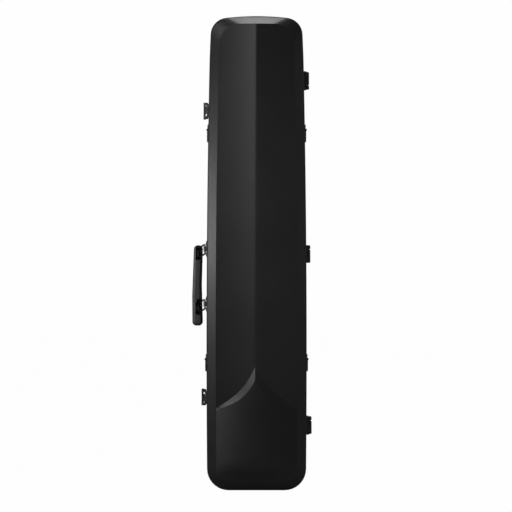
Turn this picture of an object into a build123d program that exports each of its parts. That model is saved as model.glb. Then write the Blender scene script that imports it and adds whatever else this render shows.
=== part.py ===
from build123d import *
from functools import partial
import math
import os

# Hard shell case for an erhu, in millimetres, standing on its lower end.
# +Z runs up the case, the lid faces -Y, the handle and latches are at -X and the hinges at +X.
# The origin is on the flat lower end, on the case's centre line and halfway through its depth.

# Case outline, seen from the front
CASE_LENGTH = 880
BACK_DEPTH = 72
LID_DEPTH = 58
SEAM_Y = (LID_DEPTH - BACK_DEPTH) / 2
WALL = 3.0
PARTING = 0.4
FOOT_HALF = 52
FOOT_CORNER = 40
WIDEST = (93.0, 252)
SHOULDER = (87.3, 795)
NECK = (85.2, 847.8)
CORNER_CENTRE = (53.3, 845)
CORNER_RADIUS = 32
CROWN_END = (56.4, 876.85)
CROWN_MIDDLE = (28, 879.3)

# Lid form: distances run forward from the seam
LID_WALL = 36
BEVEL_END = 49
BEVEL_WIDTH = 17
CAP_TAPER = 50
CROWN_RADIUS = 312
PANEL_HALF = 74.5
PANEL_TOP = 864
PANEL_CORNER = 37
PANEL_LOW = 130
PANEL_LEVEL = 47.8
RIDGE_TOP = (0, 56)
RIDGE_FOOT = (-6, 50)
ARCH_APEX = (-6, 231)
ARCH_ENDS = 151
ARCH_SAG = 9
ARCH_LEVEL = 46
ARCH_TAPER = 58

# Back form
BACK_ROUND = 20

# Rims and seal
RIM_WIDTH = 3.5
RIM_HEIGHT = 9
SEAL_WIDTH = 2.0
SEAL_HEIGHT = 2.4
SEAL_INSET = 0.7

# Bed and lining
BED_INSET = 7
BED_TOP = 2
BED_ROUND = 13
FIT_GAP = 0.3
NECK_X = -28
BED_SECTIONS = {"lower": (0, 200), "middle": (200, 640), "upper": (640, CASE_LENGTH)}
NECK_STRAP_Z = 540
NECK_STRAP = (52, 1.6, 25)
FLAP_MIDDLE = (38, 577.2)
FLAP_SIZE = (70, 2.2, 37.6)
FLAP_LEDGE = (72, 42, 3)
LINING_FRONT = 43.6
LINING_INNER = 38
LINING_THICK = 6
SOFT_CORNER = 3

# Bow holders on the lid's lining
BOW_X = 50
BOW_HOLDERS = {"upper": 770, "lower": 120}
BOW_POST = (14, 26, 4)
BOW_POST_FROM = 22
BOW_BUTTON = (11, 44, 5.4)
BOW_BUTTON_FROM = 17.5
BOW_BUTTON_THICK = 4
BOW_SCREW_FROM = 16
BOW_SCREW_RADIUS = 2.5

# Hinges, at +X
HINGE_HEIGHTS = {"upper": 762, "middle": 438.5, "lower": 119}
HINGE_LENGTH = 33
SMALL_KNUCKLE = 8
KNUCKLE_GAP = 0.4
KNUCKLE_RADIUS = 3.9
KNUCKLE_CHAMFER = 1.3
HINGE_PIN_RADIUS = 1.6
HINGE_BORE_RADIUS = 1.66
AXIS_LOW = (98.9, 119)
AXIS_HIGH = (94.2, 762)
LEAF_THICK = 2.2
LEAF_FROM = 4.7
LEAF_TO = 24

# Latches, at -X
LATCH_HEIGHTS = {"upper": 706.6, "lower": 170.4}
LATCH_HALF = 15
PLATE = 1.5
LEVER_PIVOT = (6.1, 9)
LEVER_ROUND = 4.4
BAIL_PIVOT = (3.1, 17)
BAIL_WIRE = 0.9
BAIL_HALF = 8.4
BAIL_BAR = -14.5
LEVER_FROM = 23
LEVER_TO = 44
LEVER_TOP = 10.5
LEVER_UNDER = 7.9
LEVER_CHEEK = 2.3
LEVER_CHAMFER = 1.0
LATCH_BASE_HALF = 12.4
LATCH_EAR = 2.9
LATCH_EAR_ROUND = 3.2
LATCH_PIN_RADIUS = 1.2
LATCH_PIN_LENGTH = 4.9
BAIL_CORNER = 1.4
BAIL_TIP = 14.6
CATCH_FROM, CATCH_TO = 28, 35.8
CATCH_WIDTH = 6.0
KEEPER_HALF = 8.5
KEEPER_HOOK_HALF = 7.35

# Handle, at -X
HANDLE_HEIGHTS = {"upper": 448, "lower": 345}
HANDLE_WALL = 92.5
HANDLE_AXIS = (4.3, 16)
GRIP_AXIS = (17.5, 33)
HANDLE_DROOP = 8.5
RING_WIRE = 1.6
RING_HALF = 9
BARREL_HALF = 4.8
GRIP_LOW, GRIP_HIGH = 304, 455
GRIP_THICK = 20
GRIP_DEEP = 24
GRIP_END_ROUND = 7.5
GRIP_EDGE_ROUND = 5.5
RING_CORNER = 2.6
HANDLE_PLATE_HALF = 15
HANDLE_BARREL_RADIUS = 2.9
RUNNING = 0.07

# Strap ring brackets, on both sides of the back shell
STRAP_HEIGHTS = {"upper": 672, "lower": 241}
STRAP_BEHIND = 36
STRAP_WIRE = 1.3
STRAP_REACH = 2.3
STRAP_PLATE_HALF = 15
STRAP_BARREL_HALF = 9
STRAP_RING_HALF = 12.5
STRAP_RING_TIP = 5
STRAP_RING_SHOULDER = 11
STRAP_RING_LENGTH = 22
STRAP_RING_CORNER = 2.2
STRAP_RIVET_ALONG = 8
STRAP_RIVET_UP = 6.3

# Rivets
RIVET_RADIUS = 2.0
RIVET_HEAD = 3.1
RIVET_DOME = 1.1
RIVET_GAP = 0.04
RIVET_LIFT = 0.12


def ahead(distance):
    """The plane parallel to the seam, this far in front of it; a negative distance is behind it."""
    return Plane.XZ.offset(distance - SEAM_Y)


def side_wall(z):
    """Half the case's width at a height on its long, slightly bowed sides."""
    (x1, z1), (x2, z2), (x3, z3) = (FOOT_HALF + FOOT_CORNER, FOOT_CORNER), WIDEST, SHOULDER
    slope_low = (x2 - x1) / (z2 - z1)
    slope_high = (x3 - x2) / (z3 - z2)
    bow = (slope_high - slope_low) / (z3 - z1)
    return x1 + slope_low * (z - z1) + bow * (z - z1) * (z - z2)


def outline_sketch(plane, inset=0.0):
    """The case's outline on a plane parallel to the seam, drawn in by the inset."""
    side_foot = (FOOT_HALF + FOOT_CORNER, FOOT_CORNER)
    turn = FOOT_CORNER * math.sqrt(0.5)
    foot_middle = (FOOT_HALF + turn, FOOT_CORNER - turn)
    neck_middle = ((SHOULDER[0] + NECK[0]) / 2 + 0.4, (SHOULDER[1] + NECK[1]) / 2)
    across = CORNER_RADIUS * math.sqrt(0.5)
    corner_middle = (CORNER_CENTRE[0] + across, CORNER_CENTRE[1] + across)
    with BuildSketch(plane) as sketch:
        with BuildLine():
            Line((0, 0), (FOOT_HALF, 0))
            ThreePointArc((FOOT_HALF, 0), foot_middle, side_foot)
            ThreePointArc(side_foot, WIDEST, SHOULDER)
            ThreePointArc(SHOULDER, neck_middle, NECK)
            ThreePointArc(NECK, corner_middle, CROWN_END)
            ThreePointArc(CROWN_END, CROWN_MIDDLE, (0, CASE_LENGTH))
            mirror(about=Plane.YZ)
        make_face()
        if inset:
            offset(amount=-inset, mode=Mode.REPLACE)
    return sketch.sketch


def bevelled_block(inset, start, wall, bevel, width):
    """A block of the case's outline with straight walls and a bevelled front edge."""
    with BuildPart() as block:
        extrude(outline_sketch(ahead(start), inset), amount=wall - start)
        low = outline_sketch(ahead(wall), inset)
        high = outline_sketch(ahead(bevel), inset + width)
        loft([low.faces()[0], high.faces()[0]], ruled=True)
    return block.part


def lid_form(inset, start):
    """The lid's form: a crowned boot at the foot and a two-sided keel panel above it."""
    wall = LID_WALL - inset * 0.4
    bevel = BEVEL_END - inset
    front = LID_DEPTH - inset
    with BuildPart() as block:
        add(bevelled_block(inset, start, wall, bevel, BEVEL_WIDTH))
        extrude(outline_sketch(ahead(bevel), inset + BEVEL_WIDTH), amount=front - bevel, taper=CAP_TAPER)
        with Locations((0, SEAM_Y - front + CROWN_RADIUS, CASE_LENGTH / 2)):
            Cylinder(CROWN_RADIUS, CASE_LENGTH + 40, mode=Mode.INTERSECT)
    border = PANEL_HALF + inset
    edge = SEAM_Y - PANEL_LEVEL + inset
    deep = SEAM_Y - PANEL_LEVEL / 2
    with BuildPart() as roof:
        for height, (ridge_x, ridge_ahead) in ((PANEL_LOW - 20, RIDGE_FOOT), (CASE_LENGTH, RIDGE_TOP)):
            with BuildSketch(Plane.XY.offset(height)):
                ridge = (ridge_x, SEAM_Y - ridge_ahead + inset)
                side = border + 20
                Polygon((-side, edge), ridge, (side, edge), (side, deep), (-side, deep), align=None)
        loft(ruled=True)
    with BuildSketch(ahead(PANEL_LEVEL / 2 + 6)) as panel:
        with Locations((0, (PANEL_TOP + PANEL_LOW) / 2)):
            Rectangle(2 * border, PANEL_TOP - PANEL_LOW + 2 * inset)
        fillet(panel.vertices().group_by(Axis.Z)[-1], PANEL_CORNER)
    with BuildPart() as cutter:
        extrude(panel.sketch, amount=LID_DEPTH)
        add(roof.part, mode=Mode.SUBTRACT)
    shift = 2.2 * inset
    apex = (ARCH_APEX[0], ARCH_APEX[1] - shift)
    with BuildSketch(ahead(ARCH_LEVEL - inset)) as arch:
        with BuildLine():
            side = 3 * PANEL_HALF / 2
            for end in (-1, 1):
                foot = (end * PANEL_HALF * 1.02, ARCH_ENDS - shift)
                middle = ((foot[0] + apex[0]) / 2, (foot[1] + apex[1]) / 2 - ARCH_SAG)
                ThreePointArc(foot, middle, apex)
                Polyline(foot, (end * side, foot[1]), (end * side, -20), (0, -20))
        make_face()
    with BuildPart() as boot:
        extrude(arch.sketch, amount=front - ARCH_LEVEL + inset + 1, taper=ARCH_TAPER)
        add(block.part, mode=Mode.INTERSECT)
    with BuildPart() as form:
        add(block.part)
        add(cutter.part, mode=Mode.SUBTRACT)
        add(boot.part)
    return form.part


def back_form(inset, start):
    """The back shell's form, with its rear edge rounded all the way round."""
    with BuildPart() as form:
        extrude(outline_sketch(ahead(-start), inset), amount=-(BACK_DEPTH - inset - start))
        fillet(form.faces().sort_by(Axis.Y)[-1].edges(), BACK_ROUND - inset)
    return form.part


def side_plane(side, x, y, z):
    """A plane on one side of the case, facing outwards."""
    return Plane(origin=(side * x, y, z), x_dir=(0, 1, 0), z_dir=(side, 0, 0))


def block_between(low, high):
    """A plain block between any two opposite corners."""
    size = [abs(b - a) for a, b in zip(low, high)]
    centre = tuple((a + b) / 2 for a, b in zip(low, high))
    with BuildPart() as block:
        with Locations(centre):
            Box(*size)
    return block.part


def out_from(side, wall, reach, behind):
    """A place in plan: this far out from a side wall and this far behind the seam."""
    return (side * (wall + reach), SEAM_Y + behind)


def save(part, name):
    """Labels a finished piece and writes it."""
    part.label = name
    export_step(part, f"parts/{name}.step")


os.makedirs("parts", exist_ok=True)

def hinge_axis_x(z):
    """The hinge line's distance from the case's middle at a height."""
    share = (z - AXIS_LOW[1]) / (AXIS_HIGH[1] - AXIS_LOW[1])
    return AXIS_LOW[0] + share * (AXIS_HIGH[0] - AXIS_LOW[0])


def leaf_face(z):
    """How far a hinge leaf's outer face stands from the case's middle."""
    return hinge_axis_x(z) - KNUCKLE_RADIUS + LEAF_THICK


# Every rivet: its side, place behind the seam, height, and its seat's distance from the case's middle
lid_rivets = []
back_rivets = []
for height in HINGE_HEIGHTS.values():
    for up in (-9, 9):
        lid_rivets.append((1, -14, height + up, leaf_face(height)))
        back_rivets.append((1, 14, height + up, leaf_face(height)))
for height in LATCH_HEIGHTS.values():
    for up in (-4, 4):
        lid_rivets.append((-1, -21, height + up, side_wall(height) + PLATE))
        back_rivets.append((-1, 33, height + 2 * up, side_wall(height) + PLATE))
for height in HANDLE_HEIGHTS.values():
    for up in (-9.5, 9.5):
        back_rivets.append((-1, 6, height + up, HANDLE_WALL + PLATE))
for height in STRAP_HEIGHTS.values():
    for side in (-1, 1):
        for along in (-STRAP_RIVET_ALONG, STRAP_RIVET_ALONG):
            seat = side_wall(height) + PLATE
            back_rivets.append((side, STRAP_BEHIND + along, height + STRAP_RIVET_UP, seat))


def rivet_holes(rivets):
    """Round holes for rivets, from well outside to inside the wall."""
    with BuildPart() as holes:
        for side, behind, z, seat in rivets:
            start = side_plane(side, side_wall(z) - WALL - 12, SEAM_Y + behind, z)
            with BuildSketch(start):
                Circle(RIVET_RADIUS + RIVET_GAP)
            extrude(amount=WALL + 30)
    return holes.part


def rivet_group(rivets):
    """Domed rivets, each with a shank through its plate and the wall."""
    with BuildPart() as group:
        for side, behind, z, seat in rivets:
            inner = side_wall(z) - WALL + 0.5
            with BuildSketch(side_plane(side, inner, SEAM_Y + behind, z)):
                Circle(RIVET_RADIUS)
            extrude(amount=seat - inner + 2 * RIVET_LIFT)
            with BuildSketch(side_plane(side, seat + RIVET_LIFT, SEAM_Y + behind, z)):
                Circle(RIVET_HEAD)
            extrude(amount=RIVET_DOME, taper=25)
    return group.part


lid_holes = rivet_holes(lid_rivets)
back_holes = rivet_holes(back_rivets)

# Shells
with BuildPart() as lid_shell:
    add(lid_form(0, PARTING / 2))
    add(lid_form(WALL, -1), mode=Mode.SUBTRACT)
    add(lid_holes, mode=Mode.SUBTRACT)
save(lid_shell.part, "lid_shell")

back_solid = back_form(0, PARTING / 2)
with BuildPart() as back_shell:
    add(back_solid)
    add(back_form(WALL, -1), mode=Mode.SUBTRACT)
    add(back_holes, mode=Mode.SUBTRACT)
save(back_shell.part, "back_shell")

# The full outline as one straight prism, which trims what sits on the walls
with BuildPart() as walls:
    extrude(outline_sketch(ahead(-BACK_DEPTH)), amount=BACK_DEPTH + LID_DEPTH)

# Rims that stiffen the two edges, and the soft seal in the back one
groove_floor = -PARTING / 2 - SEAL_HEIGHT
with BuildPart() as groove:
    extrude(outline_sketch(ahead(groove_floor), WALL + SEAL_INSET), amount=SEAL_HEIGHT + 1)
    extrude(outline_sketch(ahead(-20), WALL + SEAL_INSET + SEAL_WIDTH), amount=30, mode=Mode.SUBTRACT)

with BuildPart() as back_rim:
    extrude(outline_sketch(ahead(-PARTING / 2 - RIM_HEIGHT), WALL), amount=RIM_HEIGHT)
    extrude(outline_sketch(ahead(-20), WALL + RIM_WIDTH), amount=30, mode=Mode.SUBTRACT)
    add(groove.part, mode=Mode.SUBTRACT)
    add(back_holes, mode=Mode.SUBTRACT)
save(back_rim.part, "back_rim")

with BuildPart() as rim_seal:
    extrude(outline_sketch(ahead(groove_floor), WALL + SEAL_INSET), amount=SEAL_HEIGHT + 0.1)
    extrude(outline_sketch(ahead(-20), WALL + SEAL_INSET + SEAL_WIDTH), amount=30, mode=Mode.SUBTRACT)
save(rim_seal.part, "rim_seal")

with BuildPart() as lid_rim:
    extrude(outline_sketch(ahead(PARTING / 2), WALL), amount=RIM_HEIGHT)
    extrude(outline_sketch(ahead(-20), WALL + RIM_WIDTH), amount=50, mode=Mode.SUBTRACT)
save(lid_rim.part, "lid_rim")

# The padded bed, with pockets for the instrument's body, neck, pegs and small things:
# each pocket's sides, ends, depth and corner radius
POCKETS = {
    "body": (-72, 66, 62, 166, 60, 18),
    "base": (-52, 34, 36, 90, 50, 12),
    "neck": (NECK_X - 17, NECK_X + 17, 150, 680, 42, 8),
    "head": (NECK_X - 24, NECK_X + 24, 668, 846, 42, 12),
    "pegs": (NECK_X, 72, 690, 812, 42, 16),
    "strings": (6, 70, 250, 510, 36, 12),
    "rosin": (6, 70, 560, 594, 34, 6),
}
with BuildPart() as bed:
    bed_back = BACK_DEPTH - WALL - FIT_GAP
    extrude(outline_sketch(ahead(-BED_TOP), BED_INSET), amount=-(bed_back - BED_TOP))
    fillet(bed.faces().sort_by(Axis.Y)[-1].edges(), BED_ROUND)
    for left, right, low, high, depth, corner in POCKETS.values():
        with BuildSketch(ahead(0)):
            with Locations(((left + right) / 2, (low + high) / 2)):
                RectangleRounded(right - left, high - low, corner)
        extrude(amount=-(BED_TOP + depth), mode=Mode.SUBTRACT)
    # a ledge round the rosin pocket that its flap rests on
    with BuildSketch(ahead(0)):
        with Locations((FLAP_MIDDLE[0], FLAP_MIDDLE[1] - 0.2)):
            Rectangle(FLAP_LEDGE[0], FLAP_LEDGE[1])
    extrude(amount=-(BED_TOP + FLAP_LEDGE[2]), mode=Mode.SUBTRACT)

# The bed is laid in the back in three lengths
for place, (low, high) in BED_SECTIONS.items():
    bed_low = (-CASE_LENGTH, SEAM_Y, low + FIT_GAP / 2)
    bed_high = (CASE_LENGTH, SEAM_Y + BACK_DEPTH, high - FIT_GAP / 2)
    with BuildPart() as bed_section:
        add(bed.part)
        add(block_between(bed_low, bed_high), mode=Mode.INTERSECT)
    save(bed_section.part, f"{place}_bed")

# The strap that ties the neck down lies across its pocket
with BuildPart() as neck_strap:
    with Locations((NECK_X, SEAM_Y + BED_TOP - 0.9, NECK_STRAP_Z)):
        Box(*NECK_STRAP)
    fillet(neck_strap.edges().filter_by(Axis.Y), SOFT_CORNER)
save(neck_strap.part, "neck_strap")

# The flap over the rosin pocket, hinged along its lower edge
with BuildPart() as rosin_flap:
    with Locations((FLAP_MIDDLE[0], SEAM_Y + BED_TOP + FLAP_LEDGE[2] / 2, FLAP_MIDDLE[1])):
        Box(*FLAP_SIZE)
    fillet(rosin_flap.edges().filter_by(Axis.Y), SOFT_CORNER)
save(rosin_flap.part, "rosin_flap")

# The lid's padded lining, and the two bow holders on it
with BuildPart() as lining:
    add(bevelled_block(BED_INSET, 0.6, 33, LINING_FRONT, 17))
    add(bevelled_block(BED_INSET + LINING_THICK, -1, 29, LINING_INNER, 14), mode=Mode.SUBTRACT)
save(lining.part, "lid_lining")

for place, height in BOW_HOLDERS.items():
    with BuildPart() as bow_post:
        with BuildSketch(ahead(BOW_POST_FROM)):
            with Locations((BOW_X, height)):
                RectangleRounded(*BOW_POST)
        extrude(amount=LINING_INNER - BOW_POST_FROM - 0.05)
        with BuildSketch(ahead(BOW_SCREW_FROM)):
            with Locations((BOW_X, height)):
                Circle(BOW_SCREW_RADIUS)
        extrude(amount=BOW_POST_FROM - BOW_SCREW_FROM + 2)
    save(bow_post.part, f"{place}_bow_post")
    with BuildPart() as bow_button:
        with BuildSketch(ahead(BOW_BUTTON_FROM)):
            with Locations((BOW_X, height)):
                RectangleRounded(*BOW_BUTTON)
                Circle(BOW_SCREW_RADIUS + RUNNING, mode=Mode.SUBTRACT)
        extrude(amount=BOW_BUTTON_THICK)
    save(bow_button.part, f"{place}_bow_button")

# Hinges: a long knuckle on the lid's leaf and a short one on the back's, on one pin
hinge_lean = (AXIS_HIGH[0] - AXIS_LOW[0]) / (AXIS_HIGH[1] - AXIS_LOW[1])
for place, height in HINGE_HEIGHTS.items():
    axis_x = hinge_axis_x(height)
    frame_plane = Plane(origin=(axis_x, SEAM_Y, height), x_dir=(1, 0, -hinge_lean), z_dir=(hinge_lean, 0, 1))
    short_end = -1 if place == "upper" else 1
    split = short_end * (HINGE_LENGTH / 2 - SMALL_KNUCKLE)
    stand = axis_x - side_wall(height)
    for half, direction in (("lid", -1), ("back", 1)):
        if half == "lid":
            low, high = sorted((-short_end * HINGE_LENGTH / 2, split - short_end * KNUCKLE_GAP / 2))
        else:
            low, high = sorted((short_end * HINGE_LENGTH / 2, split + short_end * KNUCKLE_GAP / 2))
        with BuildPart() as leaf:
            with BuildSketch(frame_plane.offset(low)):
                Circle(KNUCKLE_RADIUS)
            extrude(amount=high - low)
            chamfer(leaf.edges().filter_by(GeomType.CIRCLE), KNUCKLE_CHAMFER)
            with BuildSketch(frame_plane.offset(low)):
                web_side = direction * LEAF_FROM
                with Locations((-stand / 2 - 1, web_side / 2)):
                    Rectangle(stand + 2, LEAF_FROM)
            extrude(amount=high - low)
            with BuildSketch(frame_plane.offset(low)):
                Circle(HINGE_BORE_RADIUS)
            extrude(amount=high - low, mode=Mode.SUBTRACT)
            with BuildSketch(frame_plane.offset(-HINGE_LENGTH / 2)):
                leaf_out = -KNUCKLE_RADIUS + LEAF_THICK
                with Locations(((leaf_out - stand - 2) / 2, direction * (LEAF_FROM + LEAF_TO) / 2)):
                    Rectangle(leaf_out + stand + 2, LEAF_TO - LEAF_FROM)
            extrude(amount=HINGE_LENGTH)
            far = leaf.faces().sort_by(Axis.Y)[0 if half == "lid" else -1]
            chamfer(far.edges().filter_by(lambda e: e.length < 20), 1.0)
            add(walls.part, mode=Mode.SUBTRACT)
            add(lid_holes if half == "lid" else back_holes, mode=Mode.SUBTRACT)
        save(leaf.part, f"{place}_hinge_{half}_leaf")
    with BuildPart() as hinge_pin:
        with BuildSketch(frame_plane.offset(-HINGE_LENGTH / 2 + 0.3)):
            Circle(HINGE_PIN_RADIUS)
        extrude(amount=HINGE_LENGTH - 0.6)
    save(hinge_pin.part, f"{place}_hinge_pin")

# Draw latches: a riveted base, a lever on two stub pins, a wire bail on the lever and a keeper on the lid
for place, height in LATCH_HEIGHTS.items():
    # a place in plan beside this latch, from its reach out of the wall and its distance behind the seam
    spot = partial(out_from, -1, side_wall(height))
    with BuildPart() as latch_base:
        with BuildSketch(Plane.XY.offset(height - LATCH_BASE_HALF)):
            Polygon(spot(-2, 3), spot(PLATE, 3), spot(PLATE, 39), spot(-2, 39), align=None)
        extrude(amount=2 * LATCH_BASE_HALF)
        for low in (height - LATCH_BASE_HALF, height + LATCH_BASE_HALF - LATCH_EAR):
            with BuildSketch(Plane.XY.offset(low)):
                Polygon(spot(-1.2, 5.4), spot(-1.2, 12.6), spot(6.1, 12.2), spot(6.1, 5.8), align=None)
                with Locations(spot(*LEVER_PIVOT)):
                    Circle(LATCH_EAR_ROUND)
            extrude(amount=LATCH_EAR)
        with BuildSketch(Plane.XY.offset(height - LATCH_HALF)):
            with Locations(spot(*LEVER_PIVOT)):
                Circle(LATCH_PIN_RADIUS + RUNNING)
        extrude(amount=2 * LATCH_HALF, mode=Mode.SUBTRACT)
        add(walls.part, mode=Mode.SUBTRACT)
        add(back_holes, mode=Mode.SUBTRACT)
    save(latch_base.part, f"{place}_latch_base")

    with BuildPart() as latch_pins:
        for low in (height - LATCH_HALF + 0.1, height + LATCH_HALF - 0.1 - LATCH_PIN_LENGTH):
            with BuildSketch(Plane.XY.offset(low)):
                with Locations(spot(*LEVER_PIVOT)):
                    Circle(LATCH_PIN_RADIUS)
            extrude(amount=LATCH_PIN_LENGTH)
    save(latch_pins.part, f"{place}_latch_pins")

    with BuildPart() as latch_lever:
        for low in (height - LATCH_HALF, height + LATCH_HALF - LEVER_CHEEK):
            with BuildSketch(Plane.XY.offset(low)):
                with Locations(spot(*LEVER_PIVOT)):
                    Circle(LEVER_ROUND)
                cheek_top = (spot(LEVER_TOP, LEVER_FROM + 3), spot(LEVER_TOP, 9))
                Polygon(spot(1.7, 9), spot(1.7, 20), spot(5, LEVER_FROM + 3), *cheek_top, align=None)
            extrude(amount=LEVER_CHEEK)
        with BuildSketch(Plane.XY.offset(height - LATCH_HALF)):
            Polygon(
                spot(LEVER_UNDER, LEVER_FROM),
                spot(LEVER_UNDER, LEVER_TO - 6),
                spot(LEVER_UNDER - 1, LEVER_TO),
                spot(LEVER_TOP - 1.2, LEVER_TO + 1),
                spot(LEVER_TOP, LEVER_TO - 4),
                spot(LEVER_TOP, LEVER_FROM),
                align=None,
            )
        extrude(amount=2 * LATCH_HALF)
        outermost = latch_lever.edges().filter_by(Axis.Y).group_by(Axis.X)[0]
        ends = outermost.filter_by(lambda e: abs(e.center().Z - height) > LATCH_HALF - LEVER_CHEEK / 2)
        chamfer(ends, LEVER_CHAMFER)
        notch_low = (*spot(LEVER_TOP + 1, CATCH_FROM - 0.5), height - LATCH_HALF - 1)
        notch_high = (*spot(LEVER_UNDER - 2, CATCH_TO + 3.8), height - LATCH_HALF + CATCH_WIDTH + 0.4)
        add(block_between(notch_low, notch_high), mode=Mode.SUBTRACT)
        with BuildSketch(Plane.XY.offset(height - LATCH_HALF - 1)):
            with Locations(spot(*LEVER_PIVOT)):
                Circle(LATCH_PIN_RADIUS + RUNNING)
            with Locations(spot(*BAIL_PIVOT)):
                Circle(BAIL_WIRE + RUNNING)
        extrude(amount=2 * LATCH_HALF + 2, mode=Mode.SUBTRACT)
    save(latch_lever.part, f"{place}_latch_lever")

    with BuildPart() as latch_catch:
        catch_low = (*spot(LEVER_TOP + 0.3, CATCH_FROM), height - LATCH_HALF)
        catch_high = (*spot(LEVER_UNDER - 0.6, CATCH_TO), height - LATCH_HALF + CATCH_WIDTH)
        add(block_between(catch_low, catch_high))
        chamfer(latch_catch.edges().filter_by(Axis.Z), 0.7)
    save(latch_catch.part, f"{place}_latch_catch")

    bail_plane = Plane(origin=(*spot(BAIL_PIVOT[0], 0), height), x_dir=(0, 1, 0), z_dir=(-1, 0, 0))
    bail_back = BAIL_PIVOT[1]
    with BuildPart() as latch_bail:
        with BuildLine(bail_plane) as bail_path:
            FilletPolyline(
                (bail_back, -BAIL_TIP), (bail_back, -BAIL_HALF), (BAIL_BAR, -BAIL_HALF),
                (BAIL_BAR, BAIL_HALF), (bail_back, BAIL_HALF), (bail_back, BAIL_TIP),
                radius=BAIL_CORNER,
            )
        with BuildSketch(Plane(origin=bail_path.line @ 0, z_dir=bail_path.line % 0)):
            Circle(BAIL_WIRE)
        sweep()
    save(latch_bail.part, f"{place}_latch_bail")

    with BuildPart() as latch_keeper:
        with BuildSketch(Plane.XY.offset(height - KEEPER_HALF)):
            Polygon(spot(-2, -9.6), spot(PLATE, -9.6), spot(PLATE, -25), spot(-2, -25), align=None)
        extrude(amount=2 * KEEPER_HALF)
        with BuildSketch(Plane.XY.offset(height - KEEPER_HOOK_HALF)):
            Polygon(spot(-1.2, -9.9), spot(5.2, -9.9), spot(5.8, -12.3), spot(-1.2, -12.3), align=None)
        extrude(amount=2 * KEEPER_HOOK_HALF)
        add(walls.part, mode=Mode.SUBTRACT)
        add(lid_holes, mode=Mode.SUBTRACT)
    save(latch_keeper.part, f"{place}_latch_keeper")

# Handle: two riveted brackets, a wire ring in each, and the grip on the rings
beside_handle = partial(out_from, -1, HANDLE_WALL)
ring_run = math.dist(HANDLE_AXIS, GRIP_AXIS)
ring_way = ((HANDLE_AXIS[0] - GRIP_AXIS[0]) / ring_run, (GRIP_AXIS[1] - HANDLE_AXIS[1]) / ring_run)
for place, height in HANDLE_HEIGHTS.items():
    with BuildPart() as bracket:
        with BuildSketch(Plane.XY.offset(height - HANDLE_PLATE_HALF)):
            plate_front = (beside_handle(-3, 0.8), beside_handle(PLATE, 0.8))
            Polygon(*plate_front, beside_handle(PLATE, 21), beside_handle(-3, 21), align=None)
        extrude(amount=2 * HANDLE_PLATE_HALF)
        with BuildSketch(Plane.XY.offset(height - BARREL_HALF)):
            web_front = (beside_handle(-1.2, 13.4), beside_handle(4.3, 13.4))
            Polygon(*web_front, beside_handle(4.3, 18.6), beside_handle(-1.2, 18.6), align=None)
            with Locations(beside_handle(*HANDLE_AXIS)):
                Circle(HANDLE_BARREL_RADIUS)
                Circle(RING_WIRE + RUNNING, mode=Mode.SUBTRACT)
        extrude(amount=2 * BARREL_HALF)
        add(walls.part, mode=Mode.SUBTRACT)
        add(back_holes, mode=Mode.SUBTRACT)
    save(bracket.part, f"{place}_handle_bracket")

    ring_plane = Plane(
        origin=(*beside_handle(*HANDLE_AXIS), height),
        x_dir=(ring_way[0], ring_way[1], 0),
        z_dir=(ring_way[1], -ring_way[0], 0),
    )
    with BuildPart() as ring:
        with BuildLine(ring_plane) as ring_path:
            FilletPolyline(
                (0, RING_HALF), (0, -RING_HALF), (ring_run, -RING_HALF - HANDLE_DROOP),
                (ring_run, RING_HALF - HANDLE_DROOP), radius=RING_CORNER, close=True,
            )
        with BuildSketch(Plane(origin=ring_path.line @ 0.02, z_dir=ring_path.line % 0.02)):
            Circle(RING_WIRE)
        sweep()
    save(ring.part, f"{place}_handle_ring")

grip_inner = HANDLE_WALL + GRIP_AXIS[0] + 1 - GRIP_THICK / 2
grip_outer = grip_inner + GRIP_THICK
with BuildPart() as grip:
    with BuildSketch(Plane.XZ.offset(-(SEAM_Y + GRIP_AXIS[1] + 3 - GRIP_DEEP / 2))) as grip_side:
        Polygon(
            (-grip_inner, GRIP_LOW),
            (-grip_inner - 2, (GRIP_LOW + GRIP_HIGH) / 2),
            (-grip_inner, GRIP_HIGH),
            (-grip_outer + 3.4, GRIP_HIGH),
            (-grip_outer, 360),
            (-grip_outer + 0.4, GRIP_LOW),
            align=None,
        )
        ends = grip_side.vertices().group_by(Axis.Z)
        fillet(ends[0] + ends[-1], GRIP_END_ROUND)
    extrude(amount=-GRIP_DEEP)
    fillet(grip.faces().filter_by(Axis.Y).edges(), GRIP_EDGE_ROUND)
    for height in HANDLE_HEIGHTS.values():
        ring_z = height - HANDLE_DROOP
        window_in = (*beside_handle(0, 20), ring_z - RING_HALF - 3)
        for reach, top in ((GRIP_AXIS[0] + 4.5, RING_HALF + 3), (GRIP_AXIS[0] + 2.5, RING_HALF + 8.5)):
            window_out = (*beside_handle(reach, 38), ring_z + top)
            add(block_between(window_in, window_out), mode=Mode.SUBTRACT)
        with BuildSketch(Plane.XY.offset(ring_z - 4.5)):
            with Locations(beside_handle(*GRIP_AXIS)):
                Circle(3.4)
            root = GRIP_AXIS[0] + 6
            web_front = (beside_handle(GRIP_AXIS[0], 29.6), beside_handle(root, 29.6))
            Polygon(*web_front, beside_handle(root, 39), beside_handle(GRIP_AXIS[0], 36.4), align=None)
        extrude(amount=9)
        with BuildSketch(Plane.XY.offset(ring_z - 5)):
            with Locations(beside_handle(*GRIP_AXIS)):
                Circle(RING_WIRE + RUNNING)
        extrude(amount=10, mode=Mode.SUBTRACT)
save(grip.part, "handle_grip")

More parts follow.
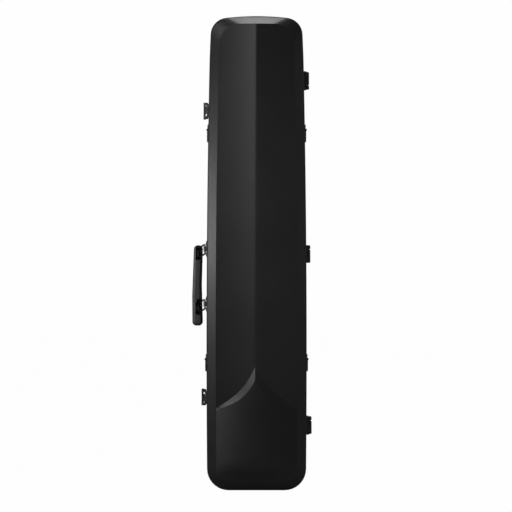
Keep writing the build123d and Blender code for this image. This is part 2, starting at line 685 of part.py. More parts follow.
# Strap brackets and their D-rings, which hang flat against the sides
for place, height in STRAP_HEIGHTS.items():
    for side_name, side in (("left", -1), ("right", 1)):
        wall = side_wall(height)
        middle = SEAM_Y + STRAP_BEHIND
        with BuildPart() as strap_bracket:
            plate_low = (side * (wall - 2), middle - STRAP_PLATE_HALF, height - 2)
            plate_high = (side * (wall + PLATE), middle + STRAP_PLATE_HALF, height + 10)
            add(block_between(plate_low, plate_high))
            with BuildSketch(Plane.XZ.offset(-(middle - STRAP_BARREL_HALF))):
                with Locations((side * (wall + STRAP_REACH), height)):
                    Circle(STRAP_WIRE + 1.2)
            extrude(amount=-2 * STRAP_BARREL_HALF)
            with BuildSketch(Plane.XZ.offset(-(middle - STRAP_PLATE_HALF - 1))):
                with Locations((side * (wall + STRAP_REACH), height)):
                    Circle(STRAP_WIRE + RUNNING)
            extrude(amount=-2 * (STRAP_PLATE_HALF + 1), mode=Mode.SUBTRACT)
            for end in (-1, 1):
                slot_in = (side * (wall - 3), middle + end * STRAP_BARREL_HALF, height - 3)
                slot_out = (side * (wall + 8), middle + end * (STRAP_PLATE_HALF + 0.5), height + 2.6)
                add(block_between(slot_in, slot_out), mode=Mode.SUBTRACT)
            add(walls.part, mode=Mode.SUBTRACT)
            add(back_holes, mode=Mode.SUBTRACT)
        save(strap_bracket.part, f"{place}_{side_name}_strap_bracket")

        ring_at = Plane(
            origin=(side * (wall + STRAP_REACH), middle, height), x_dir=(0, 1, 0), z_dir=(side, 0, 0)
        )
        shoulder, tip = -STRAP_RING_SHOULDER * side, -STRAP_RING_LENGTH * side
        with BuildPart() as strap_ring:
            with BuildLine(ring_at) as strap_path:
                FilletPolyline(
                    (-STRAP_RING_HALF, 0),
                    (STRAP_RING_HALF, 0),
                    (STRAP_RING_HALF, shoulder),
                    (STRAP_RING_TIP, tip),
                    (-STRAP_RING_TIP, tip),
                    (-STRAP_RING_HALF, shoulder),
                    radius=STRAP_RING_CORNER,
                    close=True,
                )
            with BuildSketch(Plane(origin=strap_path.line @ 0.02, z_dir=strap_path.line % 0.02)):
                Circle(STRAP_WIRE)
            sweep()
        save(strap_ring.part, f"{place}_{side_name}_strap_ring")

# Rivets
save(rivet_group(lid_rivets), "lid_rivets")
save(rivet_group(back_rivets), "back_rivets")
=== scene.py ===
import math

import bpy
from bpy.props import FloatProperty, FloatVectorProperty, IntProperty, PointerProperty
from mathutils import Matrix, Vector


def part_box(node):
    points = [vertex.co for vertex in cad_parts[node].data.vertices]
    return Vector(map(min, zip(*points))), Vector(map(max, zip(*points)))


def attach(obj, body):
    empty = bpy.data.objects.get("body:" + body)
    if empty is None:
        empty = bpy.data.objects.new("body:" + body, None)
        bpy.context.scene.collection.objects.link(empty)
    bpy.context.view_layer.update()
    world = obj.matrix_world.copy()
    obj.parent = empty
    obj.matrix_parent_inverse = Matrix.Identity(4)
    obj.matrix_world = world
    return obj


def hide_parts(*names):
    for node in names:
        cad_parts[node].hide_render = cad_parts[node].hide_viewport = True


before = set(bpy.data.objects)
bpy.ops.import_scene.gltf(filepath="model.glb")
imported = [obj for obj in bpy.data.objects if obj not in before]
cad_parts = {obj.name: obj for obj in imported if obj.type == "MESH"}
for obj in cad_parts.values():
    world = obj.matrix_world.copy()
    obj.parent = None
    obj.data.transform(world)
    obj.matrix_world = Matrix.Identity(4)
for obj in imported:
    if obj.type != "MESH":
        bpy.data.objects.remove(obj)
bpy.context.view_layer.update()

bl_info = {
    "name": "Erhu Case Dressing",
    "version": (1, 0, 0),
    "blender": (4, 5, 0),
    "location": "3D View > Sidebar > Erhu Case",
    "description": "Shells, plush, webbing, finishes and a studio for an upright erhu case",
    "category": "Object",
}

MM = 0.001
LID_LOW, LID_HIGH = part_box("lid_shell")
BACK_LOW, BACK_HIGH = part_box("back_shell")
SEAM_Y = (LID_HIGH.y + BACK_LOW.y) / 2 / MM
CASE_LENGTH = LID_HIGH.z / MM
LID_DEPTH = SEAM_Y - LID_LOW.y / MM
BACK_DEPTH = BACK_HIGH.y / MM - SEAM_Y
PARTING = (BACK_LOW.y - LID_HIGH.y) / MM

# The case's outline, seen from the front, in millimetres
FOOT_HALF = 52
FOOT_CORNER = 40
FOOT_SIDE = FOOT_HALF + FOOT_CORNER
WIDEST = (93.0, 252)
SHOULDER = (87.3, 795)
NECK = (85.2, 847.8)
CORNER_CENTRE = (53.3, 845)
CORNER_RADIUS = 32
CROWN_END = (56.4, 876.85)
NECK_DRAW = 1.4


def lerp(a, b, share):
    return a + (b - a) * share


def ease(share):
    """A smooth step from 0 to 1."""
    share = min(max(share, 0.0), 1.0)
    return share * share * (3 - 2 * share)


def side_wall(z):
    """Half the case's width at a height on its long sides."""
    low = (WIDEST[0] - FOOT_SIDE) / (WIDEST[1] - FOOT_CORNER)
    high = (SHOULDER[0] - WIDEST[0]) / (SHOULDER[1] - WIDEST[1])
    bow = (high - low) / (SHOULDER[1] - FOOT_CORNER)
    x = FOOT_SIDE + low * (z - FOOT_CORNER) + bow * (z - FOOT_CORNER) * (z - WIDEST[1])
    above = max(0.0, (z - SHOULDER[1]) / (NECK[1] - SHOULDER[1]))
    rise = NECK[1] - FOOT_CORNER
    at_neck = FOOT_SIDE + low * rise + bow * rise * (NECK[1] - WIDEST[1])
    return x - (at_neck - NECK[0]) * above**NECK_DRAW


def case_edge(part, share):
    """A point on the right half of the case's outline, and the way out of it there."""
    if part == "foot":
        return (FOOT_HALF * share, 0.0), (0.0, -1.0)
    if part == "foot_corner":
        angle = math.radians(-90 + 90 * share)
        way = (math.cos(angle), math.sin(angle))
        return (FOOT_HALF + FOOT_CORNER * way[0], FOOT_CORNER * (1 + way[1])), way
    if part == "side":
        z = lerp(FOOT_CORNER, NECK[1], share)
        slope = side_wall(z + 1) - side_wall(z - 1)
        run = math.hypot(2, slope)
        return (side_wall(z), z), (2 / run, -slope / run)
    start = math.atan2(NECK[1] - CORNER_CENTRE[1], NECK[0] - CORNER_CENTRE[0])
    end = math.atan2(CROWN_END[1] - CORNER_CENTRE[1], CROWN_END[0] - CORNER_CENTRE[0])
    if part == "top_corner":
        angle = lerp(start, end, share)
        way = (math.cos(angle), math.sin(angle))
        return tuple(c + CORNER_RADIUS * w for c, w in zip(CORNER_CENTRE, way)), way
    x = CROWN_END[0] * (1 - share)
    fall = CASE_LENGTH - CROWN_END[1]
    angle = lerp(end, math.pi / 2, share)
    return (x, CASE_LENGTH - fall * (x / CROWN_END[0]) ** 2), (math.cos(angle), math.sin(angle))


class ShellSizes(bpy.types.PropertyGroup):
    """The moulded form of the two shells, in millimetres in front of the seam."""

    wall: FloatProperty(name="Wall", description="Thickness of the moulding", default=3.0)
    straight: FloatProperty(
        name="Straight", description="Where the lid's bevel starts", default=36.0
    )
    border: FloatProperty(name="Border", description="Level of the panel's border", default=47.8)
    ridge_top: FloatProperty(
        name="Ridge top", description="Level of the ridge at the crown", default=56.0
    )
    ridge_foot: FloatProperty(
        name="Ridge foot", description="Level of the ridge at the arch", default=50.0
    )
    boot: FloatProperty(name="Boot", description="Level of the boot's middle", default=LID_DEPTH)
    boot_border: FloatProperty(
        name="Boot border", description="Level of the boot's border", default=47.8
    )
    bevel: FloatProperty(
        name="Bevel", description="Width of the bevel, seen from the front", default=17.2
    )
    left_dish: FloatProperty(
        name="Left dish", description="How far the left facet is dished", default=1.1
    )
    right_dish: FloatProperty(
        name="Right dish", description="How far the right facet is dished", default=-0.3
    )
    edge_round: FloatProperty(
        name="Edge rounding", description="Rounding of the outer edge", default=3.0
    )
    back_round: FloatProperty(
        name="Back rounding", description="Radius of the rear edge", default=20.0
    )


class ArchSizes(bpy.types.PropertyGroup):
    """The pointed arch where the boot stands proud of the panel, in millimetres."""

    apex_x: FloatProperty(name="Apex across", description="The apex's place across", default=-2.8)
    apex_z: FloatProperty(name="Apex height", description="The upper edge's apex", default=230.0)
    foot_z: FloatProperty(name="Arch ends", description="Height of the arch's ends", default=151.0)
    step: FloatProperty(
        name="Step", description="Height of the sloping step at its apex", default=25.0
    )
    upper_pull: FloatProperty(
        name="Upper pull", description="How straight the upper edge is", default=0.6
    )
    lower_pull: FloatProperty(
        name="Lower pull", description="How straight the lower edge is", default=0.48
    )


class SoftSizes(bpy.types.PropertyGroup):
    """Plush over foam, and webbing, in millimetres."""

    bed_voxel: FloatProperty(
        name="Bed grain", description="Mesh size of the padded bed", default=3.4
    )
    lining_voxel: FloatProperty(
        name="Lining grain", description="Mesh size of the lid's lining", default=2.4
    )
    smoothing: IntProperty(
        name="Smoothing", description="Rounds of smoothing on the padding", default=7
    )
    strap_thick: FloatProperty(name="Strap", description="Thickness of the neck strap", default=1.5)


class FinishColours(bpy.types.PropertyGroup):
    """Base colours, linear."""

    shell: FloatVectorProperty(
        name="Shell", subtype="COLOR", description="Moulding", default=(0.0044, 0.0043, 0.0047)
    )
    coating: FloatVectorProperty(
        name="Coating", subtype="COLOR", description="Hardware", default=(0.0045, 0.0045, 0.0049)
    )
    steel: FloatVectorProperty(
        name="Steel", subtype="COLOR", description="Pins", default=(0.42, 0.42, 0.43)
    )
    wire: FloatVectorProperty(
        name="Wire", subtype="COLOR", description="Rings", default=(0.035, 0.035, 0.038)
    )
    grip: FloatVectorProperty(
        name="Grip", subtype="COLOR", description="Handle", default=(0.006, 0.006, 0.0064)
    )
    plush: FloatVectorProperty(
        name="Plush", subtype="COLOR", description="Padding", default=(0.060, 0.062, 0.068)
    )
    webbing: FloatVectorProperty(
        name="Webbing", subtype="COLOR", description="Strap", default=(0.028, 0.028, 0.031)
    )
    rubber: FloatVectorProperty(
        name="Rubber", subtype="COLOR", description="Seal", default=(0.018, 0.018, 0.018)
    )
    fitting: FloatVectorProperty(
        name="Fitting", subtype="COLOR", description="Posts", default=(0.028, 0.028, 0.029)
    )


class StudioSizes(bpy.types.PropertyGroup):
    """The camera and the lights, in metres."""

    distance: FloatProperty(
        name="Distance", description="Camera to seam", default=5.0, unit="LENGTH"
    )
    height: FloatProperty(name="Height", description="Camera height", default=0.4348, unit="LENGTH")
    across: FloatProperty(
        name="Across", description="Camera's place across", default=-0.0011, unit="LENGTH"
    )
    width: FloatProperty(
        name="Width", description="Width of the view at the seam", default=0.9565, unit="LENGTH"
    )


# Materials


def tree_of(name):
    """A fresh node material, its tree and its Principled shader."""
    material = bpy.data.materials.new(name)
    material.use_nodes = True
    tree = material.node_tree
    shader = next(n for n in tree.nodes if n.type == "BSDF_PRINCIPLED")
    return material, tree, shader


def noise(tree, scale, detail=3.0, roughness=0.5, stretch=None):
    """A noise in the part's own space; its scale is per metre."""
    place = tree.nodes.new("ShaderNodeTexCoord")
    pattern = tree.nodes.new("ShaderNodeTexNoise")
    pattern.inputs["Scale"].default_value = scale
    pattern.inputs["Detail"].default_value = detail
    pattern.inputs["Roughness"].default_value = roughness
    source = place.outputs["Object"]
    if stretch:
        mapping = tree.nodes.new("ShaderNodeMapping")
        mapping.inputs["Scale"].default_value = stretch
        tree.links.new(source, mapping.inputs["Vector"])
        source = mapping.outputs["Vector"]
    tree.links.new(source, pattern.inputs["Vector"])
    return pattern.outputs["Fac"]


# A noise mostly stays between these two values
NOISE_LOW, NOISE_HIGH = 0.3, 0.7


def between(tree, factor, low, high):
    """A factor stretched between two values."""
    stretch = tree.nodes.new("ShaderNodeMapRange")
    stretch.inputs["From Min"].default_value = NOISE_LOW
    stretch.inputs["From Max"].default_value = NOISE_HIGH
    stretch.inputs["To Min"].default_value = low
    stretch.inputs["To Max"].default_value = high
    tree.links.new(factor, stretch.inputs["Value"])
    return stretch.outputs["Result"]


def tinted(tree, factor, colour, dark, light):
    """The colour varied between two strengths of itself."""
    ramp = tree.nodes.new("ShaderNodeValToRGB")
    ramp.color_ramp.elements[0].position = NOISE_LOW
    ramp.color_ramp.elements[1].position = NOISE_HIGH
    for element, strength in zip(ramp.color_ramp.elements, (dark, light)):
        element.color = (*(c * strength for c in colour), 1)
    tree.links.new(factor, ramp.inputs["Fac"])
    return ramp.outputs["Color"]


def bumped(tree, shader, heights):
    """Bumps on the shader in order: each is a height, its depth in metres and its strength."""
    last = None
    for height, depth, strength in heights:
        bump = tree.nodes.new("ShaderNodeBump")
        bump.inputs["Distance"].default_value = depth
        bump.inputs["Strength"].default_value = strength
        tree.links.new(height, bump.inputs["Height"])
        if last:
            tree.links.new(last, bump.inputs["Normal"])
        last = bump.outputs["Normal"]
    tree.links.new(last, shader.inputs["Normal"])


def moulded_finish(colour):
    """Satin black moulding: a fine even grain, and the slow waves of a vacuum-formed sheet."""
    material, tree, shader = tree_of("satin_moulding")
    broad = noise(tree, 9, 2)
    grain = noise(tree, 2600, 2)
    waves = noise(tree, 14, 1.5)
    tree.links.new(tinted(tree, broad, colour, 0.9, 1.12), shader.inputs["Base Color"])
    tree.links.new(between(tree, broad, 0.38, 0.43), shader.inputs["Roughness"])
    shader.inputs["Specular IOR Level"].default_value = 0.25
    bumped(tree, shader, [(waves, 0.0006, 0.35), (grain, 0.00004, 0.5)])
    return material


def coated_finish(colour):
    """Matt black coating on pressed metal: faint orange peel and slightly paler rubbed spots."""
    material, tree, shader = tree_of("matt_coating")
    rubbed = noise(tree, 190, 5, 0.65)
    peel = noise(tree, 1900, 2)
    tree.links.new(tinted(tree, rubbed, colour, 0.85, 1.5), shader.inputs["Base Color"])
    tree.links.new(between(tree, rubbed, 0.56, 0.44), shader.inputs["Roughness"])
    shader.inputs["Specular IOR Level"].default_value = 0.45
    bumped(tree, shader, [(peel, 0.00005, 0.5)])
    return material


def steel_finish(name, colour, low, high):
    """Drawn metal: fine lines along it and a changing shine."""
    material, tree, shader = tree_of(name)
    lines = noise(tree, 420, 4, 0.6, (1, 1, 12))
    tree.links.new(tinted(tree, lines, colour, 0.85, 1.1), shader.inputs["Base Color"])
    tree.links.new(between(tree, lines, low, high), shader.inputs["Roughness"])
    shader.inputs["Metallic"].default_value = 1.0
    bumped(tree, shader, [(lines, 0.00003, 0.4)])
    return material


def grip_finish(colour):
    """Soft matt moulding with a stippled skin."""
    material, tree, shader = tree_of("stippled_grip")
    stipple = noise(tree, 1500, 2)
    worn = noise(tree, 30, 3)
    tree.links.new(tinted(tree, worn, colour, 0.9, 1.2), shader.inputs["Base Color"])
    tree.links.new(between(tree, worn, 0.58, 0.48), shader.inputs["Roughness"])
    shader.inputs["Specular IOR Level"].default_value = 0.4
    bumped(tree, shader, [(stipple, 0.00012, 0.6)])
    return material


def plush_finish(colour):
    """Short plush: a fuzzy pile brushed into soft patches."""
    material, tree, shader = tree_of("short_plush")
    brushed = noise(tree, 55, 3, 0.6)
    pile = noise(tree, 1400, 3, 0.7)
    tree.links.new(tinted(tree, brushed, colour, 0.72, 1.3), shader.inputs["Base Color"])
    tree.links.new(between(tree, pile, 0.85, 1.0), shader.inputs["Roughness"])
    shader.inputs["Specular IOR Level"].default_value = 0.2
    shader.inputs["Sheen Weight"].default_value = 0.55
    shader.inputs["Sheen Roughness"].default_value = 0.45
    bumped(tree, shader, [(brushed, 0.0008, 0.4), (pile, 0.0004, 0.9)])
    return material


def webbing_finish(colour):
    """Woven webbing: ribs across and a twill along."""
    material, tree, shader = tree_of("woven_webbing")
    place = tree.nodes.new("ShaderNodeTexCoord")
    ribs = []
    for direction, scale in (("X", 520), ("Z", 300)):
        wave = tree.nodes.new("ShaderNodeTexWave")
        wave.bands_direction = direction
        wave.inputs["Scale"].default_value = scale
        wave.inputs["Distortion"].default_value = 0.4
        tree.links.new(place.outputs["Object"], wave.inputs["Vector"])
        ribs.append(wave.outputs["Fac"])
    tree.links.new(tinted(tree, ribs[0], colour, 0.7, 1.3), shader.inputs["Base Color"])
    tree.links.new(between(tree, ribs[1], 0.8, 0.95), shader.inputs["Roughness"])
    bumped(tree, shader, [(ribs[0], 0.0002, 0.7), (ribs[1], 0.0002, 0.7)])
    return material


def rubber_finish(colour):
    """Soft matt rubber with a faint bloom."""
    material, tree, shader = tree_of("soft_rubber")
    bloom = noise(tree, 60, 4, 0.6)
    tree.links.new(tinted(tree, bloom, colour, 0.85, 1.3), shader.inputs["Base Color"])
    tree.links.new(between(tree, bloom, 0.7, 0.85), shader.inputs["Roughness"])
    bumped(tree, shader, [(noise(tree, 900, 2), 0.00005, 0.4)])
    return material


def fitting_finish(colour):
    """Plain black moulded plastic."""
    material, tree, shader = tree_of("moulded_fitting")
    cloud = noise(tree, 80, 3)
    tree.links.new(tinted(tree, cloud, colour, 0.9, 1.15), shader.inputs["Base Color"])
    tree.links.new(between(tree, cloud, 0.36, 0.46), shader.inputs["Roughness"])
    bumped(tree, shader, [(noise(tree, 1200, 2), 0.00004, 0.4)])
    return material


def finish_of(name):
    """Each finish is made once and shared."""
    made = bpy.data.materials.get(name)
    if made:
        return made
    colours = bpy.context.scene.erhu_case.colours
    makers = {
        "satin_moulding": lambda: moulded_finish(colours.shell),
        "matt_coating": lambda: coated_finish(colours.coating),
        "plain_steel": lambda: steel_finish("plain_steel", colours.steel, 0.28, 0.42),
        "dark_wire": lambda: steel_finish("dark_wire", colours.wire, 0.34, 0.48),
        "stippled_grip": lambda: grip_finish(colours.grip),
        "short_plush": lambda: plush_finish(colours.plush),
        "woven_webbing": lambda: webbing_finish(colours.webbing),
        "soft_rubber": lambda: rubber_finish(colours.rubber),
        "moulded_fitting": lambda: fitting_finish(colours.fitting),
    }
    return makers[name]()


def paint(piece, finish):
    """Gives a piece its finish."""
    piece.data.materials.clear()
    piece.data.materials.append(finish_of(finish))


# Mesh helpers

SMOOTH_FACTOR = 0.5


def piece_from(name, points, faces, body, sharp=40):
    """A new mesh piece from points in millimetres, smooth shaded, riding on a body."""
    mesh = bpy.data.meshes.new(name)
    mesh.from_pydata([Vector(p) * MM for p in points], [], faces)
    mesh.update()
    piece = bpy.data.objects.new(name, mesh)
    bpy.context.scene.collection.objects.link(piece)
    mesh.shade_smooth()
    mesh.set_sharp_from_angle(angle=math.radians(sharp))
    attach(piece, body)
    return piece


def apply_all(piece):
    """Applies a piece's modifiers to its mesh."""
    bpy.context.view_layer.update()
    shaped = piece.evaluated_get(bpy.context.evaluated_depsgraph_get())
    made = bpy.data.meshes.new_from_object(shaped)
    piece.modifiers.clear()
    old = piece.data
    made.name = old.name
    piece.data = made
    bpy.data.meshes.remove(old)


def thicken(piece, thickness):
    """Makes a skin into a closed shell, inwards, and evens its shading."""
    solid = piece.modifiers.new("wall", "SOLIDIFY")
    solid.thickness = thickness * MM
    solid.offset = -1
    solid.use_even_offset = False
    even = piece.modifiers.new("even", "WEIGHTED_NORMAL")
    even.keep_sharp = True
    apply_all(piece)


def quads_between(rows, closed):
    """Faces between rows of vertex numbers that all have the same length."""
    faces = []
    for low, high in zip(rows, rows[1:]):
        last = len(low) if closed else len(low) - 1
        for k in range(last):
            n = (k + 1) % len(low)
            faces.append((low[k], low[n], high[n], high[k]))
    return faces


def soft_copy(node, name, voxel, rounds, body):
    """A padded piece in a solid's place: its form, remeshed and smoothed to soft edges."""
    piece = bpy.data.objects.new(name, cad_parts[node].data.copy())
    bpy.context.scene.collection.objects.link(piece)
    piece.data.materials.clear()
    remesh = piece.modifiers.new("grain", "REMESH")
    remesh.mode = "VOXEL"
    remesh.voxel_size = voxel * MM
    smooth = piece.modifiers.new("soft", "SMOOTH")
    smooth.factor = SMOOTH_FACTOR
    smooth.iterations = rounds
    apply_all(piece)
    piece.data.shade_smooth()
    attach(piece, body)
    return piece


# The lid's form

COLUMN_SHARES = (0, 0.022, 0.06, 0.14, 0.25, 0.37, 0.5, 0.63, 0.76, 0.88, 0.955, 0.985, 1)
CORNER_STEPS = 9
BOOT_ROWS = 12
STEP_SHARES = (0, 0.07, 0.16, 0.3, 0.5, 0.7, 0.84, 0.93, 1)
LOWER_PANEL_ROWS = 34
PANEL_ROWS = 18
WARP_TOP = 600
PANEL_CORNER_AT = 827
PANEL_TOP = 864.3
PANEL_TOP_HALF = 33
CREST_SOFTNESS = 0.16
CREST_SHARE = 0.03
ARCH_POINT = 4
ARCH_END_DROP = 1.5
BOOT_EARLY = 6
BOOT_RISE = 40
BEVEL_START = 0.07
ROUND_START = 1.1
ROUND_STEPS = 5
LID_CREASE = 15


def panel_half(z, sizes):
    """Half the panel's width between its bevels."""
    return side_wall(z) - sizes.bevel


def arch_edge(share, sizes, arch, upper):
    """Height of one edge of the arch: share runs from 0 at the apex to 1 at an end."""
    pull = arch.upper_pull if upper else arch.lower_pull
    rise = pull * (1 - share) + (1 - pull) * (1 - share) ** ARCH_POINT
    end = arch.foot_z + (ARCH_END_DROP if upper else -ARCH_END_DROP)
    apex = arch.apex_z - (0 if upper else arch.step)
    return end + (apex - end) * rise


def ridge_x(z, arch):
    """The ridge runs from the middle of the crown down to the arch's apex."""
    return arch.apex_x * min(1.0, max(0.0, (CASE_LENGTH - z) / (CASE_LENGTH - arch.apex_z)))


def keel_level(x, z, sizes, arch):
    """Level of the two-sided panel: each facet falls from ridge to border, dished or domed."""
    middle = ridge_x(z, arch)
    side, dish = (-1, sizes.left_dish) if x < middle else (1, sizes.right_dish)
    share = abs(x - middle) / (panel_half(min(z, PANEL_CORNER_AT), sizes) - side * middle)
    ridge = lerp(sizes.ridge_foot, sizes.ridge_top, (z - arch.apex_z) / (PANEL_TOP - arch.apex_z))
    crest = CREST_SOFTNESS * max(0.0, 1 - share / CREST_SHARE)
    return lerp(ridge, sizes.border, share) - 4 * dish * share * (1 - share) - crest


def boot_level(x, z, sizes):
    """Level of the boot: crowned across, and rising from its bevel at the foot."""
    out = min(1.0, abs(x) / (FOOT_SIDE - sizes.bevel))
    crown = (sizes.boot - sizes.boot_border) * (1 - out**2)
    return sizes.boot_border + crown * ease((z - sizes.bevel + BOOT_EARLY) / BOOT_RISE)


def panel_rows(sizes, arch):
    """Rows of points over the lid's front between the bevels, foot first, as (x, level, z)."""
    inner = FOOT_CORNER - sizes.bevel
    rows = []

    def add_row(end_half, height_of, level_of):
        row = []
        for side in (-1, 1):
            shares = COLUMN_SHARES[::-1] if side < 0 else COLUMN_SHARES[1:]
            for share in shares:
                z = height_of(share)
                x = lerp(ridge_x(z, arch), side * end_half, share)
                row.append((x, level_of(share, x, z), z))
        rows.append(row)

    def boot(share, x, z):
        return boot_level(x, z, sizes)

    def keel(share, x, z):
        return keel_level(x, z, sizes, arch)

    for k in range(CORNER_STEPS):
        angle = math.radians(90 * k / CORNER_STEPS)
        height = FOOT_CORNER - inner * math.cos(angle)
        add_row(FOOT_HALF + inner * math.sin(angle), lambda share, height=height: height, boot)
    for k in range(BOOT_ROWS):
        up = k / BOOT_ROWS
        end = lerp(FOOT_CORNER, arch_edge(1, sizes, arch, False), up)
        add_row(
            panel_half(end, sizes),
            lambda share, up=up: lerp(FOOT_CORNER, arch_edge(share, sizes, arch, False), up),
            boot,
        )
    for up in STEP_SHARES:
        end = lerp(arch_edge(1, sizes, arch, False), arch_edge(1, sizes, arch, True), up)
        add_row(
            panel_half(end, sizes),
            lambda share, up=up: lerp(
                arch_edge(share, sizes, arch, False), arch_edge(share, sizes, arch, True), up
            ),
            lambda share, x, z, up=up: lerp(boot(share, x, z), keel(share, x, z), up),
        )
    for k in range(1, LOWER_PANEL_ROWS + 1):
        up = k / LOWER_PANEL_ROWS
        end = lerp(arch_edge(1, sizes, arch, True), WARP_TOP, up)
        add_row(
            panel_half(end, sizes),
            lambda share, up=up: lerp(arch_edge(share, sizes, arch, True), WARP_TOP, up),
            keel,
        )
    for k in range(1, PANEL_ROWS + 1):
        height = lerp(WARP_TOP, PANEL_CORNER_AT, k / PANEL_ROWS)
        add_row(panel_half(height, sizes), lambda share, height=height: height, keel)
    corner_x = panel_half(PANEL_CORNER_AT, sizes) - PANEL_TOP_HALF
    corner_z = PANEL_TOP - PANEL_CORNER_AT
    for k in range(1, CORNER_STEPS + 1):
        angle = math.radians(90 * k / CORNER_STEPS)
        height = PANEL_CORNER_AT + corner_z * math.sin(angle)
        half = PANEL_TOP_HALF + corner_x * math.cos(angle)
        add_row(half, lambda share, height=height: height, keel)
    return rows


def rim_points(rows, sizes):
    """The panel's border in order, each point with its match on the case's outline."""
    columns = len(rows[0])
    middle = columns // 2
    foot_rows = CORNER_STEPS
    side_rows = len(rows) - 2 * CORNER_STEPS

    def outer(part, share, side):
        (x, z), _ = case_edge(part, share)
        return side * x, z

    order = []
    for c in range(columns):
        side = -1 if c < middle else 1
        order.append(((0, c), outer("foot", COLUMN_SHARES[abs(c - middle)], side)))
    right, left = [], []
    for side, column, found in ((1, columns - 1, right), (-1, 0, left)):
        for r in range(1, len(rows)):
            if r < foot_rows:
                at = outer("foot_corner", r / foot_rows, side)
            elif r < foot_rows + side_rows:
                z = rows[r][column][2]
                share = (z - FOOT_CORNER) / (PANEL_CORNER_AT - FOOT_CORNER)
                at = outer("side", share, side)
            else:
                at = outer("top_corner", (r - foot_rows - side_rows + 1) / CORNER_STEPS, side)
            found.append(((r, column), at))
    top = []
    for c in range(columns - 2, 0, -1):
        side = -1 if c < middle else 1
        top.append(((len(rows) - 1, c), outer("crown", 1 - COLUMN_SHARES[abs(c - middle)], side)))
    return order + right + top + left[::-1]


def bevel_point(stage, inner, edge, sizes):
    """A point on the way from the panel's border over the bevel and its rounding to the seam."""
    inner_x, inner_level, inner_z = inner
    x, z = edge
    if stage == ROUND_STEPS + 2:
        return x, SEAM_Y - PARTING / 2, z
    start = sizes.edge_round * ROUND_START
    reach = BEVEL_START if stage == 0 else 1 - start / math.dist(edge, (inner_x, inner_z))
    turn = max(0, stage - 1) / ROUND_STEPS
    blend = 1 - (1 - turn) ** 2
    level = lerp(inner_level, sizes.straight, lerp(reach, 1, blend)) - start * turn**2
    return (
        lerp(lerp(inner_x, x, reach), x, blend),
        SEAM_Y - level,
        lerp(lerp(inner_z, z, reach), z, blend),
    )


class CASE_OT_lid_shell(bpy.types.Operator):
    """The lid: a keel panel over a boot with a pointed arch, bevelled into straight walls"""

    bl_idname = "erhu_case.lid_shell"
    bl_label = "Lid shell"

    def execute(self, context):
        case = context.scene.erhu_case
        sizes = case.shell
        rows = panel_rows(sizes, case.arch)
        columns = len(rows[0])
        points = [(x, SEAM_Y - level, z) for row in rows for x, level, z in row]
        numbers = [list(range(r * columns, (r + 1) * columns)) for r in range(len(rows))]
        faces = quads_between(numbers, False)
        border = rim_points(rows, sizes)
        rings = [[numbers[r][c] for (r, c), _ in border]]
        for stage in range(ROUND_STEPS + 3):
            rings.append(list(range(len(points), len(points) + len(border))))
            points += [bevel_point(stage, rows[r][c], edge, sizes) for (r, c), edge in border]
        faces += [face[::-1] for face in quads_between(rings, True)]
        lid = piece_from("lid_moulding", points, faces, "lid", LID_CREASE)
        thicken(lid, sizes.wall)
        paint(lid, "satin_moulding")
        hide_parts("lid_shell")
        return {"FINISHED"}


OUTLINE_STEPS = (("foot", 8), ("foot_corner", 14), ("side", 60), ("top_corner", 14), ("crown", 10))
BACK_WALL_RINGS = (12, 30)
BACK_TURN_LEAD = 1.5
BACK_TURNS = 10
BACK_FLAT_BORDER = 2
NO_CREASE = 180


def whole_outline():
    """The whole outline, anticlockwise from the foot's middle, with the way out at each point."""
    half = []
    for part, steps in OUTLINE_STEPS:
        half += [case_edge(part, k / steps) for k in range(steps)]
    half.append(case_edge("crown", 1))
    mirrored = [((-x, z), (-out_x, out_z)) for (x, z), (out_x, out_z) in half[-2:0:-1]]
    return half + mirrored


class CASE_OT_back_shell(bpy.types.Operator):
    """The back: straight walls with the rear edge rounded all the way round"""

    bl_idname = "erhu_case.back_shell"
    bl_label = "Back shell"

    def execute(self, context):
        sizes = context.scene.erhu_case.shell
        radius = sizes.back_round
        outline = whole_outline()
        wall_rings = (PARTING / 2, *BACK_WALL_RINGS, BACK_DEPTH - radius - BACK_TURN_LEAD)
        profile = [(0.0, behind) for behind in wall_rings]
        for k in range(BACK_TURNS + 1):
            angle = math.radians(90 * k / BACK_TURNS)
            inset = radius * (1 - math.cos(angle))
            profile.append((inset, BACK_DEPTH - radius * (1 - math.sin(angle))))
        profile.append((radius + BACK_FLAT_BORDER, BACK_DEPTH))
        points, rings = [], []
        for inset, behind in profile:
            rings.append(list(range(len(points), len(points) + len(outline))))
            for (x, z), (out_x, out_z) in outline:
                points.append((x - out_x * inset, SEAM_Y + behind, z - out_z * inset))
        faces = [face[::-1] for face in quads_between(rings, True)]
        faces.append(tuple(rings[-1][::-1]))
        back = piece_from("back_moulding", points, faces, "case_back", NO_CREASE)
        thicken(back, sizes.wall)
        paint(back, "satin_moulding")
        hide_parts("back_shell")
        return {"FINISHED"}


class CASE_OT_padding(bpy.types.Operator):
    """The padded bed in the back and the padded lining in the lid"""

    bl_idname = "erhu_case.padding"
    bl_label = "Padding"

    def execute(self, context):
        soft = context.scene.erhu_case.soft
        for place in ("lower", "middle", "upper"):
            bed = soft_copy(
                f"{place}_bed", f"{place}_plush_bed", soft.bed_voxel, soft.smoothing, "case_back"
            )
            paint(bed, "short_plush")
            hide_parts(f"{place}_bed")
        lining = soft_copy("lid_lining", "plush_lining", soft.lining_voxel, soft.smoothing, "lid")
        paint(lining, "short_plush")
        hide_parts("lid_lining")
        return {"FINISHED"}


FLAP_GRAIN = 0.9
FLAP_ROUNDS = 3


